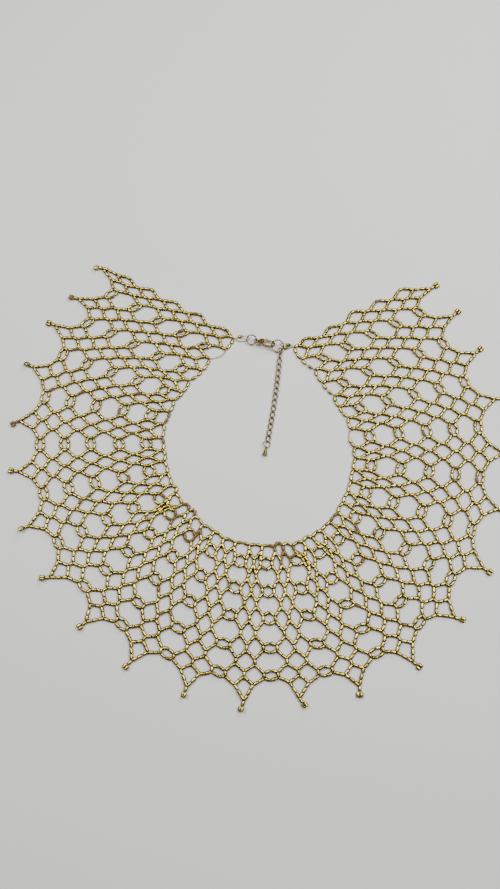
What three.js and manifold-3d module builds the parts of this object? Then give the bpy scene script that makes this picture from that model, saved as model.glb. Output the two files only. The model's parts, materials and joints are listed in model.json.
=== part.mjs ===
// Netted bead collar: a wide openwork collar of short metal-gold bugle beads, worked in
// vertical netting from a neck thread out to twenty-three points, and closed at the back
// of the neck by a lobster clasp with an extender chain and a small drop.
// Millimetres, +Z up. The collar lies flat and fastened, its clasp towards +Y.

import * as THREE from 'three';
import { mergeVertices } from 'three/addons/utils/BufferGeometryUtils.js';
import Module from 'manifold-3d';

const wasm = await Module();
wasm.setup();

// ---------------------------------------------------------------- driving dimensions

const BEAD_LENGTH = 3.2; // one bead with its share of bare thread
const SIDE_LENGTH = 6.7; // a net side: two beads between junction beads
const SIDE_SLACK = 0.85; // how far a side can fold up, as a part of its length
const OVAL_LENGTH = 8; // the two beads that join neighbouring sectors
const OVAL_SLACK = 0.85; // how far an oval can close up
const STRAND_SPACE = 2.0; // strands of one row lie at least this far apart
const NECK_ARC_LENGTH = 7.4; // thread of the two beads between neck junctions
const STRAND_WIDTH = 1.2; // a strung row of beads as a plain bar
const STRAND_HEIGHT = 1.8; // bead diameter
const TIP_LENGTH = 6.2; // from a point's junction to the far side of its end bead
const NECK_CLEARANCE = 1.15; // a panel's neck beads stop this far from the neck thread
const OVAL_CROWN = 0.38; // where an oval is tallest, as a part of the way across
const OVAL_CLEARANCE = 2.2; // an oval stops this far from the next sector's junction

const ROWS = 11; // rows of junctions, from 0 at the point to 11 at the neck
const OVAL_ROWS = [2, 4, 6, 8, 10];
const SETTLE_PASSES = 300; // steps in which the threads pull the net into place
const SMOOTH_PASSES = 210; // the first of them, which also even the net out
const SMOOTH_SHARE = 0.2;
const NECK_STRETCH = 0.15; // how much further apart the rows lie at the neck than at mid-net
const WIDEST_STEP = 5.6; // sideways from one column of the lattice to the next
const OVAL_WIDTH = 4; // kept clear between sectors when the lattice is laid out
const LEAST_RISE = 0.1; // squares of the least an oval rises and a neck arc bulges
const LEAST_SAG = 2;
const LEAST_OPENING = 0.3; // smaller openings are closed, in square millimetres
const SQUARE_CORNER = 4; // radians; past this a bar's end is square, not mitred
const ORIGIN_SHIFT = [-0.47, 0.31]; // puts the origin under the middle of the collar's box

const CLASP_EYE = new THREE.Vector3(-2, 84.7, 3.05); // where the left jump ring passes
const CLASP_BEARING = -14.5; // of the clasp's length, degrees
const CLASP_ROLL = -20; // about its length, with the lever's side lower
const CLASP_THICKNESS = 1.4;
const CLASP_BEVEL = 0.3;
const FORK_BEVEL = 0.2;
const FORK_THICKNESS = 2.4; // over the two cheeks that hold the lever's pin
const FORK_SLOT = 1.2;
const EYE_THICKNESS = 0.9;
const EYE_RADIUS = 1.6;
const EYE_HOLE_RADIUS = 1.05;
const PIN_AT = [3.6, 1.25];
const PIN_RADIUS = 0.45;
const PIN_ROOT = 0.2; // how far the pin reaches into the two cheeks, both together
const LEVER_EYE_RADIUS = 1;
const LEVER_HOLE_RADIUS = 0.55; // a running fit on the pin
const LEVER_EYE_THICKNESS = 0.6;
const GAP = 0.3; // clearance between moving pieces
const RING_WIRE = 0.42; // radius of the jump rings' wire
const LEFT_RING = { x: -3.1, radius: 3.1, tilt: 34 }; // x along the clasp from its eye
const RIGHT_RING = { x: 14.05, radius: 3.75, tilt: 29 };
const LOOP_RADIUS = 0.45; // of a strung end loop
const LINK_WIRE = 0.32;
const LINK_COUNT = 16;
const LINK_LAP = 1; // how far the middle of a link's wire reaches into the next link
const CHAIN_START = [13.5, 78.2]; // middle of the first link
const CHAIN_BEARINGS = [265.5, 258.5]; // of the first and the last link
const END_RING = { radius: 2.15, wire: 0.35, tilt: 22, height: 1.2 };
const DROP = { eyeRadius: 0.85, eyeWire: 0.2, topRadius: 0.6, footRadius: 1.62, length: 4.6, rise: 5 };
const WIRE_SIDES = 6; // flats round a wire, and below the steps along each shape
const SEGMENTS = { disc: 20, pin: 12, ring: 28, endRing: 24, loop: 36, link: 16, drop: 16, knob: 10 };

// One row per sector of the net, from the collar's left end round to its right end.
// x, y     middle of the sector's two neck junctions
// gap      distance between those two junctions
// reach    from that middle out to the junction at the sector's point
// bearing  direction of the point, in degrees anticlockwise from +X
// lean     how far the point's end bead turns off that bearing, in degrees
const SECTORS = [
  { x: -19, y: 83.5, gap: 9.5, reach: 101, bearing: 147, lean: 28 },
  { x: -34, y: 69, gap: 9.5, reach: 97, bearing: 151, lean: 19 },
  { x: -46.5, y: 54, gap: 9, reach: 96, bearing: 153.5, lean: 9 },
  { x: -55, y: 41, gap: 8, reach: 93, bearing: 163.5, lean: -7 },
  { x: -60, y: 24.5, gap: 9, reach: 90, bearing: 175.5, lean: 37 },
  { x: -59, y: 8.5, gap: 7, reach: 89, bearing: 186.5, lean: -13 },
  { x: -55, y: -6.5, gap: 8, reach: 88, bearing: 199, lean: 6 },
  { x: -49, y: -18.5, gap: 8, reach: 88, bearing: 212.5, lean: -29 },
  { x: -41, y: -27.5, gap: 5, reach: 87, bearing: 227, lean: -8 },
  { x: -31, y: -36.5, gap: 8, reach: 87, bearing: 241, lean: -14 },
  { x: -18, y: -44, gap: 7.5, reach: 86, bearing: 254, lean: -1 },
  { x: -2.5, y: -47, gap: 7.5, reach: 87.5, bearing: 265.5, lean: -15 },
  { x: 11, y: -47.5, gap: 5, reach: 86, bearing: 277, lean: 32 },
  { x: 22.5, y: -46, gap: 7, reach: 87, bearing: 292.5, lean: -25 },
  { x: 34, y: -40, gap: 7, reach: 90, bearing: 305.5, lean: 18 },
  { x: 44.5, y: -30, gap: 7.5, reach: 89.5, bearing: 319, lean: 24 },
  { x: 52, y: -18, gap: 7, reach: 89.5, bearing: 332, lean: -9 },
  { x: 56.5, y: -4, gap: 7.5, reach: 89.5, bearing: 346.5, lean: -24 },
  { x: 59, y: 10.5, gap: 7, reach: 91, bearing: 360, lean: 0 },
  { x: 56, y: 29.5, gap: 7.5, reach: 94, bearing: 370, lean: -7 },
  { x: 48.5, y: 44, gap: 8, reach: 96, bearing: 380, lean: 21 },
  { x: 37.5, y: 61, gap: 10, reach: 98.5, bearing: 385.5, lean: 16 },
  { x: 24.5, y: 77, gap: 9.5, reach: 100, bearing: 387.5, lean: 5 },
];
const LAST = SECTORS.length - 1;

// The two free edges run almost straight from the outer points to the ends of the neck
// thread. Each row gives how far the edge's junctions stand off that line, outwards.
const FREE_EDGES = [
  { sector: 0, column: -2, bow: [2.3, 2.7, 2.7, 3.2, 2.3] },
  { sector: LAST, column: 2, bow: [7.8, 6.8, 6.5, 2.8, 2.3] },
];

// ---------------------------------------------------------------- plane geometry

const heading = degrees => new THREE.Vector2(1, 0)
  .rotateAround(new THREE.Vector2(), THREE.MathUtils.degToRad(degrees));
const turnLeft = v => new THREE.Vector2(-v.y, v.x);
const along = (start, direction, distance) => start.clone().addScaledVector(direction, distance);
const middle = (a, b) => a.clone().lerp(b, 0.5);

// ---------------------------------------------------------------- lie of the net
// A sector is a lattice of junction beads that point to the neck. Even rows have three
// of them, odd rows two. Every junction bead has an outer and an inner end, and a side
// of two beads runs from its inner end to the outer end of each junction one row on.

const columnsOf = row => (row === 0 ? [0] : row % 2 ? [-1, 1] : [-2, 0, 2]);

const sectors = SECTORS.map(({ x, y, gap, reach, bearing, lean }) => {
  const out = heading(bearing);
  const neck = new THREE.Vector2(x, y);
  return { out, neck, gap, point: along(neck, out, reach), tip: heading(bearing + lean) };
});

// The rows lie closer together at the point and further apart at the neck.
function rowCentre(sector, row) {
  const share = row / ROWS;
  return sector.point.clone().lerp(sector.neck, share - NECK_STRETCH * share * (1 - share));
}

function layOut() {
  const net = new Map();
  sectors.forEach((sector, s) => {
    const first = Math.max(0, s - 1);
    const last = Math.min(LAST, s + 1);
    for (let row = 0; row <= ROWS; row += 1) {
      const across = rowCentre(sectors[last], row).sub(rowCentre(sectors[first], row));
      const pitch = across.length() / (last - first);
      const step = Math.min(WIDEST_STEP, (pitch - OVAL_WIDTH) / 4);
      const sideways = across.normalize().add(turnLeft(sector.out)).normalize();
      for (const column of columnsOf(row)) {
        const centre = along(rowCentre(sector, row), sideways, step * column);
        const outer = { at: along(centre, sector.out, BEAD_LENGTH / 2), held: false };
        const inner = { at: along(centre, sector.out, -BEAD_LENGTH / 2), held: false };
        net.set(`${s}/${row}/${column}`, { outer, inner, above: [], below: [], inOval: false });
      }
    }
  });
  return net;
}

const net = layOut();
const junction = (s, row, column) => net.get(`${s}/${row}/${column}`);

function hold({ outer, inner }, innerAt, direction) {
  inner.at.copy(innerAt);
  outer.at.copy(along(innerAt, direction, BEAD_LENGTH));
  inner.held = true;
  outer.held = true;
}

function holdEdges() {
  sectors.forEach((sector, s) => {
    for (const column of [-1, 1]) {
      const inner = along(sector.neck, turnLeft(sector.out), (column * sector.gap) / 2);
      hold(junction(s, ROWS, column), inner, sector.out);
    }
    hold(junction(s, 0, 0), sector.point, sector.tip);
  });
  for (const { sector: s, column, bow } of FREE_EDGES) {
    const start = sectors[s].point;
    const end = junction(s, ROWS, column / 2).inner.at;
    const outwards = end.clone().sub(start).normalize();
    const sideways = turnLeft(outwards.negate()).multiplyScalar(Math.sign(column));
    OVAL_ROWS.forEach((row, k) => {
      const centre = along(start.clone().lerp(end, row / ROWS), sideways, bow[k]);
      hold(junction(s, row, column), along(centre, outwards, -BEAD_LENGTH / 2), outwards);
    });
  }
}

// Every thread of the net as a pair of ends with the least and the most distance
// between them.
function threads() {
  const list = [];
  const tie = (a, b, least, most) => list.push({ a, b, least, most });
  for (let s = 0; s <= LAST; s += 1) {
    for (let row = 0; row <= ROWS; row += 1) {
      const columns = columnsOf(row);
      for (const column of columns) {
        const here = junction(s, row, column);
        tie(here.outer, here.inner, BEAD_LENGTH, BEAD_LENGTH);
        for (const next of [junction(s, row + 1, column - 1), junction(s, row + 1, column + 1)]) {
          if (!next) continue;
          tie(here.inner, next.outer, SIDE_LENGTH * SIDE_SLACK, SIDE_LENGTH);
          here.below.push(next.outer);
          next.above.push(here.inner);
        }
      }
      columns.slice(1).forEach((column, k) => {
        const here = junction(s, row, column);
        const beside = junction(s, row, columns[k]);
        tie(beside.outer, here.outer, STRAND_SPACE, Infinity);
        tie(beside.inner, here.inner, STRAND_SPACE, Infinity);
      });
    }
    if (s === LAST) break;
    for (const row of OVAL_ROWS) {
      const here = junction(s, row, 2);
      const facing = junction(s + 1, row, -2);
      tie(here.outer, facing.outer, OVAL_LENGTH * OVAL_SLACK, OVAL_LENGTH);
      tie(here.inner, facing.inner, OVAL_LENGTH * OVAL_SLACK, OVAL_LENGTH);
      here.inOval = true;
      facing.inOval = true;
    }
  }
  return list;
}

const meanOf = ends => ends
  .reduce((sum, end) => sum.add(end.at), new THREE.Vector2())
  .divideScalar(ends.length);

// Draws each junction a little way to the middle of the strands that meet in it.
function smooth(junctions) {
  const moves = junctions.map(({ outer, inner, above, below, inOval }) => {
    const high = meanOf(above);
    const low = meanOf(below);
    const out = high.clone().sub(low).normalize();
    const own = middle(outer.at, inner.at);
    const centre = middle(high, low);
    const target = inOval ? along(own, out, centre.sub(own).dot(out)) : centre;
    return { outer, inner, target, out };
  });
  for (const { outer, inner, target, out } of moves) {
    if (!outer.held) outer.at.lerp(along(target, out, BEAD_LENGTH / 2), SMOOTH_SHARE);
    if (!inner.held) inner.at.lerp(along(target, out, -BEAD_LENGTH / 2), SMOOTH_SHARE);
  }
}

// Moves the two ends of a thread until it is neither stretched nor crushed.
function pull({ a, b, least, most }) {
  const span = b.at.clone().sub(a.at);
  const length = span.length();
  const excess = length - Math.min(most, Math.max(least, length));
  if (excess === 0 || (a.held && b.held)) return;
  const share = a.held || b.held ? 1 : 0.5;
  span.multiplyScalar((excess * share) / length);
  if (!a.held) a.at.add(span);
  if (!b.held) b.at.sub(span);
}

holdEdges();
const ties = threads();
const inside = [...net.values()].filter(({ above, below }) => above.length && below.length);
for (let pass = 0; pass < SETTLE_PASSES; pass += 1) {
  if (pass < SMOOTH_PASSES) smooth(inside);
  ties.forEach(pull);
}

// ---------------------------------------------------------------- strung bars
// A net of strands becomes one flat solid. Each strand is a bar, and the bars' edges
// meet in mitred corners round every joint, so that the openings stay open.

const wholeTurn = 2 * Math.PI;

function cornerBetween(joint, from, to, halfWidth) {
  const arriving = joint.clone().sub(from).normalize();
  const leaving = to.clone().sub(joint).normalize();
  const wedge = (from.clone().sub(joint).angle() - leaving.angle() + wholeTurn) % wholeTurn || wholeTurn;
  if (wedge > SQUARE_CORNER) {
    return [along(joint, turnLeft(arriving), halfWidth), along(joint, turnLeft(leaving), halfWidth)];
  }
  const bisector = leaving.clone().rotateAround(new THREE.Vector2(), wedge / 2);
  return [along(joint, bisector, halfWidth / Math.sin(wedge / 2))];
}

function strungBars(points, strands) {
  const around = points.map(() => []);
  for (const [a, b] of strands) {
    around[a].push(b);
    around[b].push(a);
  }
  around.forEach((ends, p) => {
    const angleTo = q => points[q].clone().sub(points[p]).angle();
    ends.sort((a, b) => angleTo(a) - angleTo(b));
  });
  const walked = new Set();
  const loops = [];
  for (const [a, b] of strands.flatMap(([p, q]) => [[p, q], [q, p]])) {
    const loop = [];
    let [from, to] = [a, b];
    while (!walked.has(`${from}>${to}`)) {
      walked.add(`${from}>${to}`);
      const ends = around[to];
      const next = ends[(ends.indexOf(from) + ends.length - 1) % ends.length];
      loop.push(...cornerBetween(points[to], points[from], points[next], STRAND_WIDTH / 2));
      [from, to] = [to, next];
    }
    if (loop.length) loops.push(loop);
  }
  const outline = new THREE.Shape(loops.find(loop => THREE.ShapeUtils.area(loop) < 0));
  outline.holes = loops
    .filter(loop => THREE.ShapeUtils.area(loop) > LEAST_OPENING)
    .map(loop => new THREE.Path(loop));
  return new THREE.ExtrudeGeometry(outline, { depth: STRAND_HEIGHT, bevelEnabled: false });
}

// ---------------------------------------------------------------- net panels

function jointOf(row, outer, inner) {
  if (row === 0) return inner.clone();
  return row === ROWS ? outer.clone() : middle(outer, inner);
}

function netPanel(s) {
  const points = [];
  const strands = [];
  const mark = at => points.push(at) - 1;
  const index = new Map();
  for (let row = 0; row <= ROWS; row += 1) {
    for (const column of columnsOf(row)) {
      const { outer, inner } = junction(s, row, column);
      const joint = mark(jointOf(row, outer.at, inner.at));
      index.set(`${row}/${column}`, joint);
      for (const beside of [column - 1, column + 1]) {
        const above = index.get(`${row - 1}/${beside}`);
        if (above !== undefined) strands.push([above, joint]);
      }
      if (row === ROWS) strands.push([joint, mark(along(inner.at, sectors[s].out, NECK_CLEARANCE))]);
    }
  }
  strands.push([0, mark(along(sectors[s].point, sectors[s].tip, TIP_LENGTH))]);
  if (s < LAST) {
    for (const row of OVAL_ROWS) {
      const near = points[index.get(`${row}/2`)];
      const { outer, inner } = junction(s + 1, row, -2);
      const far = middle(outer.at, inner.at);
      const across = far.clone().sub(near);
      const rise = BEAD_LENGTH / 2
        + Math.sqrt(Math.max(LEAST_RISE, BEAD_LENGTH ** 2 - (across.length() / 2) ** 2));
      const out = turnLeft(across.clone().normalize()).negate();
      const end = mark(along(far, across.normalize(), -OVAL_CLEARANCE));
      for (const side of [-1, 1]) {
        const crown = mark(along(near.clone().lerp(far, OVAL_CROWN), out, side * rise));
        strands.push([index.get(`${row}/2`), crown], [crown, end]);
      }
    }
  }
  return strungBars(points, strands);
}

// ---------------------------------------------------------------- neck thread

function neckEdge() {
  const beads = sectors.flatMap((sector, s) => [-1, 1].map(column => ({
    at: junction(s, ROWS, column).inner.at,
    out: sector.out,
  })));
  const points = [beads[0].at];
  beads.slice(1).forEach(({ at, out }, k) => {
    const chord = at.distanceTo(beads[k].at);
    const sag = Math.sqrt(Math.max(LEAST_SAG, NECK_ARC_LENGTH ** 2 - chord ** 2)) / 2;
    const inwards = out.clone().add(beads[k].out).normalize().negate();
    points.push(along(middle(at, beads[k].at), inwards, sag), at);
  });
  return strungBars(points, points.slice(1).map((_, k) => [k, k + 1]));
}

// ---------------------------------------------------------------- fastening
// Made along +X from the eye of the clasp, with the lever on the +Y side, then turned.

const degrees = THREE.MathUtils.degToRad;

function solid(geometry) {
  const bare = geometry.clone();
  bare.deleteAttribute('normal');
  bare.deleteAttribute('uv');
  const merged = mergeVertices(bare, 1e-4);
  return new wasm.Manifold(new wasm.Mesh({
    numProp: 3,
    vertProperties: merged.attributes.position.array,
    triVerts: new Uint32Array(merged.index.array),
  }));
}

function geometryOf(manifold) {
  const { vertProperties, triVerts } = manifold.getMesh();
  const geometry = new THREE.BufferGeometry();
  geometry.setAttribute('position', new THREE.BufferAttribute(vertProperties, 3));
  geometry.setIndex(new THREE.BufferAttribute(triVerts, 1));
  return geometry;
}

// A flat piece of the given thickness, centred on the clasp's own middle plane.
function plate(shape, thickness, bevel = 0, curveSegments = 2) {
  return new THREE.ExtrudeGeometry(shape, {
    depth: thickness - 2 * bevel,
    bevelEnabled: bevel > 0,
    bevelThickness: bevel,
    bevelSize: bevel,
    bevelOffset: -bevel,
    bevelSegments: 1,
    curveSegments,
  }).translate(0, 0, bevel - thickness / 2);
}

function disc([x, y], radius, thickness, sides = SEGMENTS.disc) {
  return new THREE.CylinderGeometry(radius, radius, thickness, sides)
    .rotateX(Math.PI / 2)
    .translate(x, y, 0);
}

const shapeThrough = (start, ...runs) => {
  const shape = new THREE.Shape().moveTo(...start);
  for (const run of runs) shape.splineThru(run.map(([x, y]) => new THREE.Vector2(x, y)));
  return shape.closePath();
};

const HOOK_START = [1.2, -0.95];
const HOOK_BACK = [[4.4, -2.5], [6.9, -3], [9.4, -2.7], [11.4, -1.5], [12.4, 0.1], [12, 1.5],
  [11, 2.5], [9.55, 2.95]];
const HOOK_INSIDE = [[9.5, 1.95], [10.5, 1.65], [11.2, 0.9], [11.4, -0.05], [10.7, -1.2],
  [9, -1.8], [6.9, -1.95], [5.5, -1.6], [4.85, -0.8], [4.75, 0.3], [4.8, 1.2], [4.9, 2.3]];
const HOOK_TAIL = [[3.8, 2.4], [2.4, 1.9], [1.2, 0.95]];
const FORK_START = [2.2, -1];
const FORK_EDGE = [[3.6, -1.2], [4.5, -0.7], [4.8, 0.4], [4.9, 2.3]];
const FORK_BACK = [[3.8, 2.45], [2.7, 2.1], [2.1, 1.3], FORK_START];

function claspBody() {
  const hookOutline = shapeThrough(HOOK_START, HOOK_BACK, HOOK_INSIDE, HOOK_TAIL);
  const hook = plate(hookOutline, CLASP_THICKNESS, CLASP_BEVEL);
  const fork = plate(shapeThrough(FORK_START, FORK_EDGE, FORK_BACK), FORK_THICKNESS, FORK_BEVEL);
  const slot = disc(PIN_AT, LEVER_EYE_RADIUS + GAP, FORK_SLOT);
  const slotMouth = new THREE.BoxGeometry(4, 2 * (LEVER_EYE_RADIUS + GAP), FORK_SLOT)
    .translate(PIN_AT[0] + 2, PIN_AT[1], 0);
  return geometryOf(solid(hook)
    .add(solid(fork))
    .add(solid(disc([0, 0], EYE_RADIUS, EYE_THICKNESS)))
    .subtract(solid(disc([0, 0], EYE_HOLE_RADIUS, FORK_THICKNESS)))
    .subtract(solid(slot))
    .subtract(solid(slotMouth))
    .add(solid(disc(PIN_AT, PIN_RADIUS, FORK_SLOT + PIN_ROOT, SEGMENTS.pin))));
}

const LEVER_START = [4, 0.7];
const LEVER_EDGE = [[5.4, 1.75], [7.4, 1.85], [9.15, 1.95]];
const LEVER_BACK = [[9.15, 2.95], [7.4, 2.95], [5.4, 2.85], [3.6, 2.2]];
const LEVER_THICK_FROM = 5.35; // clear of the fork's cheeks
const KNOB_AT = [6, 3.75];
const KNOB_RADIUS = 0.65;

function claspLever() {
  const root = plate(shapeThrough(LEVER_START, LEVER_EDGE, LEVER_BACK), LEVER_EYE_THICKNESS);
  const arm = plate(shapeThrough(LEVER_START, LEVER_EDGE, LEVER_BACK), CLASP_THICKNESS, FORK_BEVEL);
  const front = new THREE.BoxGeometry(6, 4, 4).translate(LEVER_THICK_FROM + 3, 2, 0);
  const knob = new THREE.SphereGeometry(KNOB_RADIUS, SEGMENTS.knob, WIRE_SIDES)
    .scale(1, 1.6, 0.9)
    .translate(...KNOB_AT, 0);
  return geometryOf(solid(root)
    .add(solid(disc(PIN_AT, LEVER_EYE_RADIUS, LEVER_EYE_THICKNESS)))
    .add(solid(arm).intersect(solid(front)))
    .add(solid(knob))
    .subtract(solid(disc(PIN_AT, LEVER_HOLE_RADIUS, FORK_THICKNESS))));
}

// A round jump ring that leans about the length of the clasp.
function jumpRing({ x, radius, tilt }) {
  return new THREE.TorusGeometry(radius, RING_WIRE, WIRE_SIDES, SEGMENTS.ring)
    .rotateX(degrees(tilt))
    .translate(x, 0, 0);
}

const closedTube = (curve, steps, radius) => new THREE.TubeGeometry(curve, steps, radius, WIRE_SIDES, true);

function cordLoop(rows) {
  const curve = new THREE.CatmullRomCurve3(rows.map(row => new THREE.Vector3(...row)), true);
  return closedTube(curve, SEGMENTS.loop, LOOP_RADIUS);
}

// The strung loops that tie the ends of the neck thread to the jump rings. Heights are
// from the clasp's eye: each loop goes over its ring, down inside it and back below.
const LEFT_LOOP = [[-13.1, -1, -2.3], [-12.2, 0.7, -1.8], [-9.8, 1.5, -0.7], [-7.8, 1.3, 0.9],
  [-6.4, 0.85, 1.95], [-5, 0.5, 1.2], [-4.75, 0.15, -0.4], [-5.9, -0.15, -1.6], [-7.4, -1, -2.1],
  [-9.5, -1.75, -2.4], [-11.7, -1.85, -2.45]];
const RIGHT_LOOP = [[23.3, 2.8, -2.3], [22, 3.6, -1.5], [20.4, 3.1, 0.4], [18.7, 2.2, 2],
  [17.3, 1.8, 2.3], [16.05, 1.35, 1.3], [15.9, 1.1, -0.2], [17.1, 0.9, -1.25], [18.6, 0.8, -1.9],
  [20.2, 1, -2.4], [22, 1.7, -2.45]];

// ---------------------------------------------------------------- extender chain

// A chain link is an oval of wire, rolled about its own length by one amount at its
// upper end and by another at its lower end, as in a curb chain.
class LinkCurve extends THREE.Curve {
  constructor({ halfLength, halfWidth, upperRoll, lowerRoll }) {
    super();
    Object.assign(this, { halfLength, halfWidth, upperRoll, lowerRoll });
  }

  getPoint(t) {
    const turn = wholeTurn * t;
    const roll = degrees(THREE.MathUtils.lerp(this.upperRoll, this.lowerRoll, (1 + Math.cos(turn)) / 2));
    const side = this.halfWidth * Math.sin(turn);
    return new THREE.Vector3(this.halfLength * Math.cos(turn), side * Math.cos(roll), side * Math.sin(roll));
  }
}

const FIRST_LINK = { halfLength: 2.1, halfWidth: 1.6, upperRoll: -32, lowerRoll: -32 };
const SECOND_LINK = { halfLength: 2.2, halfWidth: 1.2, upperRoll: 65, lowerRoll: 60 };
const CURB_LINK = { halfLength: 2.51, halfWidth: 1.325, upperRoll: -45, lowerRoll: 45 };
const LAST_LINK = { halfLength: 2.51, halfWidth: 1.325, upperRoll: -45, lowerRoll: 68 };
const FIRST_LINK_HEIGHT = 1.7;
const LINK_STEP_DOWN = 0.06;
const CURB_HEIGHT = 1.08;

const SPECIAL_LINKS = new Map([[0, FIRST_LINK], [1, SECOND_LINK], [LINK_COUNT - 1, LAST_LINK]]);
const linkAt = index => SPECIAL_LINKS.get(index) ?? CURB_LINK;

// The middle and the bearing of every link, and of the end ring after them.
function chainStations() {
  const stations = [];
  let at = new THREE.Vector2(...CHAIN_START);
  let reach = 0;
  for (let index = 0; index <= LINK_COUNT; index += 1) {
    const isLink = index < LINK_COUNT;
    const half = isLink ? linkAt(index).halfLength : END_RING.radius;
    const bearing = THREE.MathUtils.lerp(...CHAIN_BEARINGS, index / LINK_COUNT);
    if (index) at = along(at, heading(bearing), reach + half - LINK_LAP);
    const lowered = Math.max(CURB_HEIGHT, FIRST_LINK_HEIGHT - LINK_STEP_DOWN * index);
    stations.push({ at, bearing, height: isLink ? lowered : END_RING.height });
    reach = half;
  }
  return stations;
}

const stations = chainStations();
const atStation = (geometry, { at, bearing, height }) => geometry
  .rotateZ(degrees(bearing))
  .translate(at.x, at.y, height);

const chainLink = index => atStation(
  closedTube(new LinkCurve(linkAt(index)), SEGMENTS.link, LINK_WIRE),
  stations[index],
);

const endRing = () => atStation(
  new THREE.TorusGeometry(END_RING.radius, END_RING.wire, WIRE_SIDES, SEGMENTS.endRing)
    .rotateX(degrees(-END_RING.tilt)),
  stations[LINK_COUNT],
);

function drop() {
  const { eyeRadius, eyeWire, topRadius, footRadius, length, rise } = DROP;
  const eye = new THREE.TorusGeometry(eyeRadius, eyeWire, WIRE_SIDES, SEGMENTS.drop)
    .rotateX(Math.PI / 2);
  const cone = new THREE.CylinderGeometry(topRadius, footRadius, length, SEGMENTS.drop)
    .rotateZ(Math.PI / 2)
    .translate(eyeRadius + length / 2, 0, 0);
  const lying = geometryOf(solid(eye).add(solid(cone)))
    .rotateY(degrees(-rise))
    .translate(END_RING.radius, 0, 0);
  return atStation(lying, stations[LINK_COUNT]);
}

// ---------------------------------------------------------------- the collar

const finish = (color, roughness) => new THREE.MeshStandardMaterial({ color, roughness, metalness: 0.9 });
const beadGold = finish(0xb59a4c, 0.35);
const claspGold = finish(0xa8793a, 0.3);
const knobGold = finish(0xd8c88c, 0.3);
const chainBrass = finish(0x8f7440, 0.4);

const collar = new THREE.Group();
collar.position.set(...ORIGIN_SHIFT, 0);
const numbered = (name, index) => `${name}_${String(index + 1).padStart(2, '0')}`;

function place(parent, name, geometry, material) {
  const mesh = new THREE.Mesh(geometry, material);
  mesh.name = name;
  parent.add(mesh);
}

for (let s = 0; s <= LAST; s += 1) place(collar, numbered('net_panel', s), netPanel(s), beadGold);
place(collar, 'neck_edge', neckEdge(), beadGold);

const fastening = new THREE.Group();
fastening.position.copy(CLASP_EYE);
fastening.rotation.z = degrees(CLASP_BEARING);
collar.add(fastening);
place(fastening, 'end_loop_left', cordLoop(LEFT_LOOP), beadGold);
place(fastening, 'end_loop_right', cordLoop(RIGHT_LOOP), beadGold);
place(fastening, 'jump_ring_left', jumpRing(LEFT_RING), chainBrass);
place(fastening, 'jump_ring_right', jumpRing(RIGHT_RING), chainBrass);

const clasp = new THREE.Group();
clasp.rotation.x = degrees(CLASP_ROLL);
fastening.add(clasp);
place(clasp, 'clasp_body', claspBody(), claspGold);
place(clasp, 'clasp_lever', claspLever(), knobGold);

for (let index = 0; index < LINK_COUNT; index += 1) {
  place(collar, numbered('chain_link', index), chainLink(index), chainBrass);
}
place(collar, 'end_ring', endRing(), chainBrass);
place(collar, 'drop', drop(), claspGold);

export default collar;
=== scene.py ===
# %% [markdown]
# # A netted bead collar, laid flat
#
# The real collar is a bib of short, metal-gold bugle beads. A beader works it in vertical
# netting: a neck thread first, then net after net hanging from it, each one ending in a
# point. A lobster clasp closes it behind the neck, and a short curb chain with a small
# cone-shaped drop lets it be worn wider. This lesson strings every bead of it in Blender.
#
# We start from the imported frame: it holds the size and place of every piece, so nothing
# that we add needs fitting afterwards.

# %% Load the frame
import cmath
import json
import math
import random
from collections import defaultdict, namedtuple

import bmesh
import bpy
import numpy as np
from mathutils import Matrix, Vector

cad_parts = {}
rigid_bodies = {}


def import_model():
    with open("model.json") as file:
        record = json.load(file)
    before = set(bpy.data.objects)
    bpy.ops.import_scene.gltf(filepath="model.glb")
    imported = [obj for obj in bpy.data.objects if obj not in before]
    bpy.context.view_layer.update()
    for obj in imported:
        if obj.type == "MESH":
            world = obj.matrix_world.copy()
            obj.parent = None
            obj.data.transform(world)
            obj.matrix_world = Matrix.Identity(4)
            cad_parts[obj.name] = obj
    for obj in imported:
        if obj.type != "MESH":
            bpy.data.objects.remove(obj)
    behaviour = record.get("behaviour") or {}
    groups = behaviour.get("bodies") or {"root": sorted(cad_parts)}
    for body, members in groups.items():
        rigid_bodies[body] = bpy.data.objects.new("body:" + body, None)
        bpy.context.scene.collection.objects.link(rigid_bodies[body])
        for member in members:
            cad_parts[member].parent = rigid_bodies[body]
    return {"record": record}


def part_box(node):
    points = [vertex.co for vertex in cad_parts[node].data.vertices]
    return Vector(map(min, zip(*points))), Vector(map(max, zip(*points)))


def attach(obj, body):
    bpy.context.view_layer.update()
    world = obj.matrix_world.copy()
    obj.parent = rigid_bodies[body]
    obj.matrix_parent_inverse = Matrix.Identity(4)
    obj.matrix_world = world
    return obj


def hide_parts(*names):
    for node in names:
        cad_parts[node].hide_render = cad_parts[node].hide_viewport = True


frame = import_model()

MM = 0.001
TINY = 0.001  # millimetres, far less than any size here
UP = Vector((0, 0, 1))
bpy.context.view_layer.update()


def in_scene(name, data):
    made = bpy.data.objects.new(name, data)
    bpy.context.collection.objects.link(made)
    return made


# %% [markdown]
# ## Camera
#
# Jewellery that lies on a table is best seen from almost straight above, a little from the
# front, so that the net's openings stay open. The lens is short and the camera is close,
# which is why the near side of the collar looks larger than the far side. The camera looks
# at a point on the table, and we step back from that point along the line of sight.

# %% Camera
CAMERA_TARGET = Vector((-6.47, 16.31, 0)) * MM
CAMERA_DISTANCE = 465 * MM
CAMERA_TILT = math.radians(17)
FIELD_OF_VIEW = math.radians(61.3)  # across the picture's long side

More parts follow.
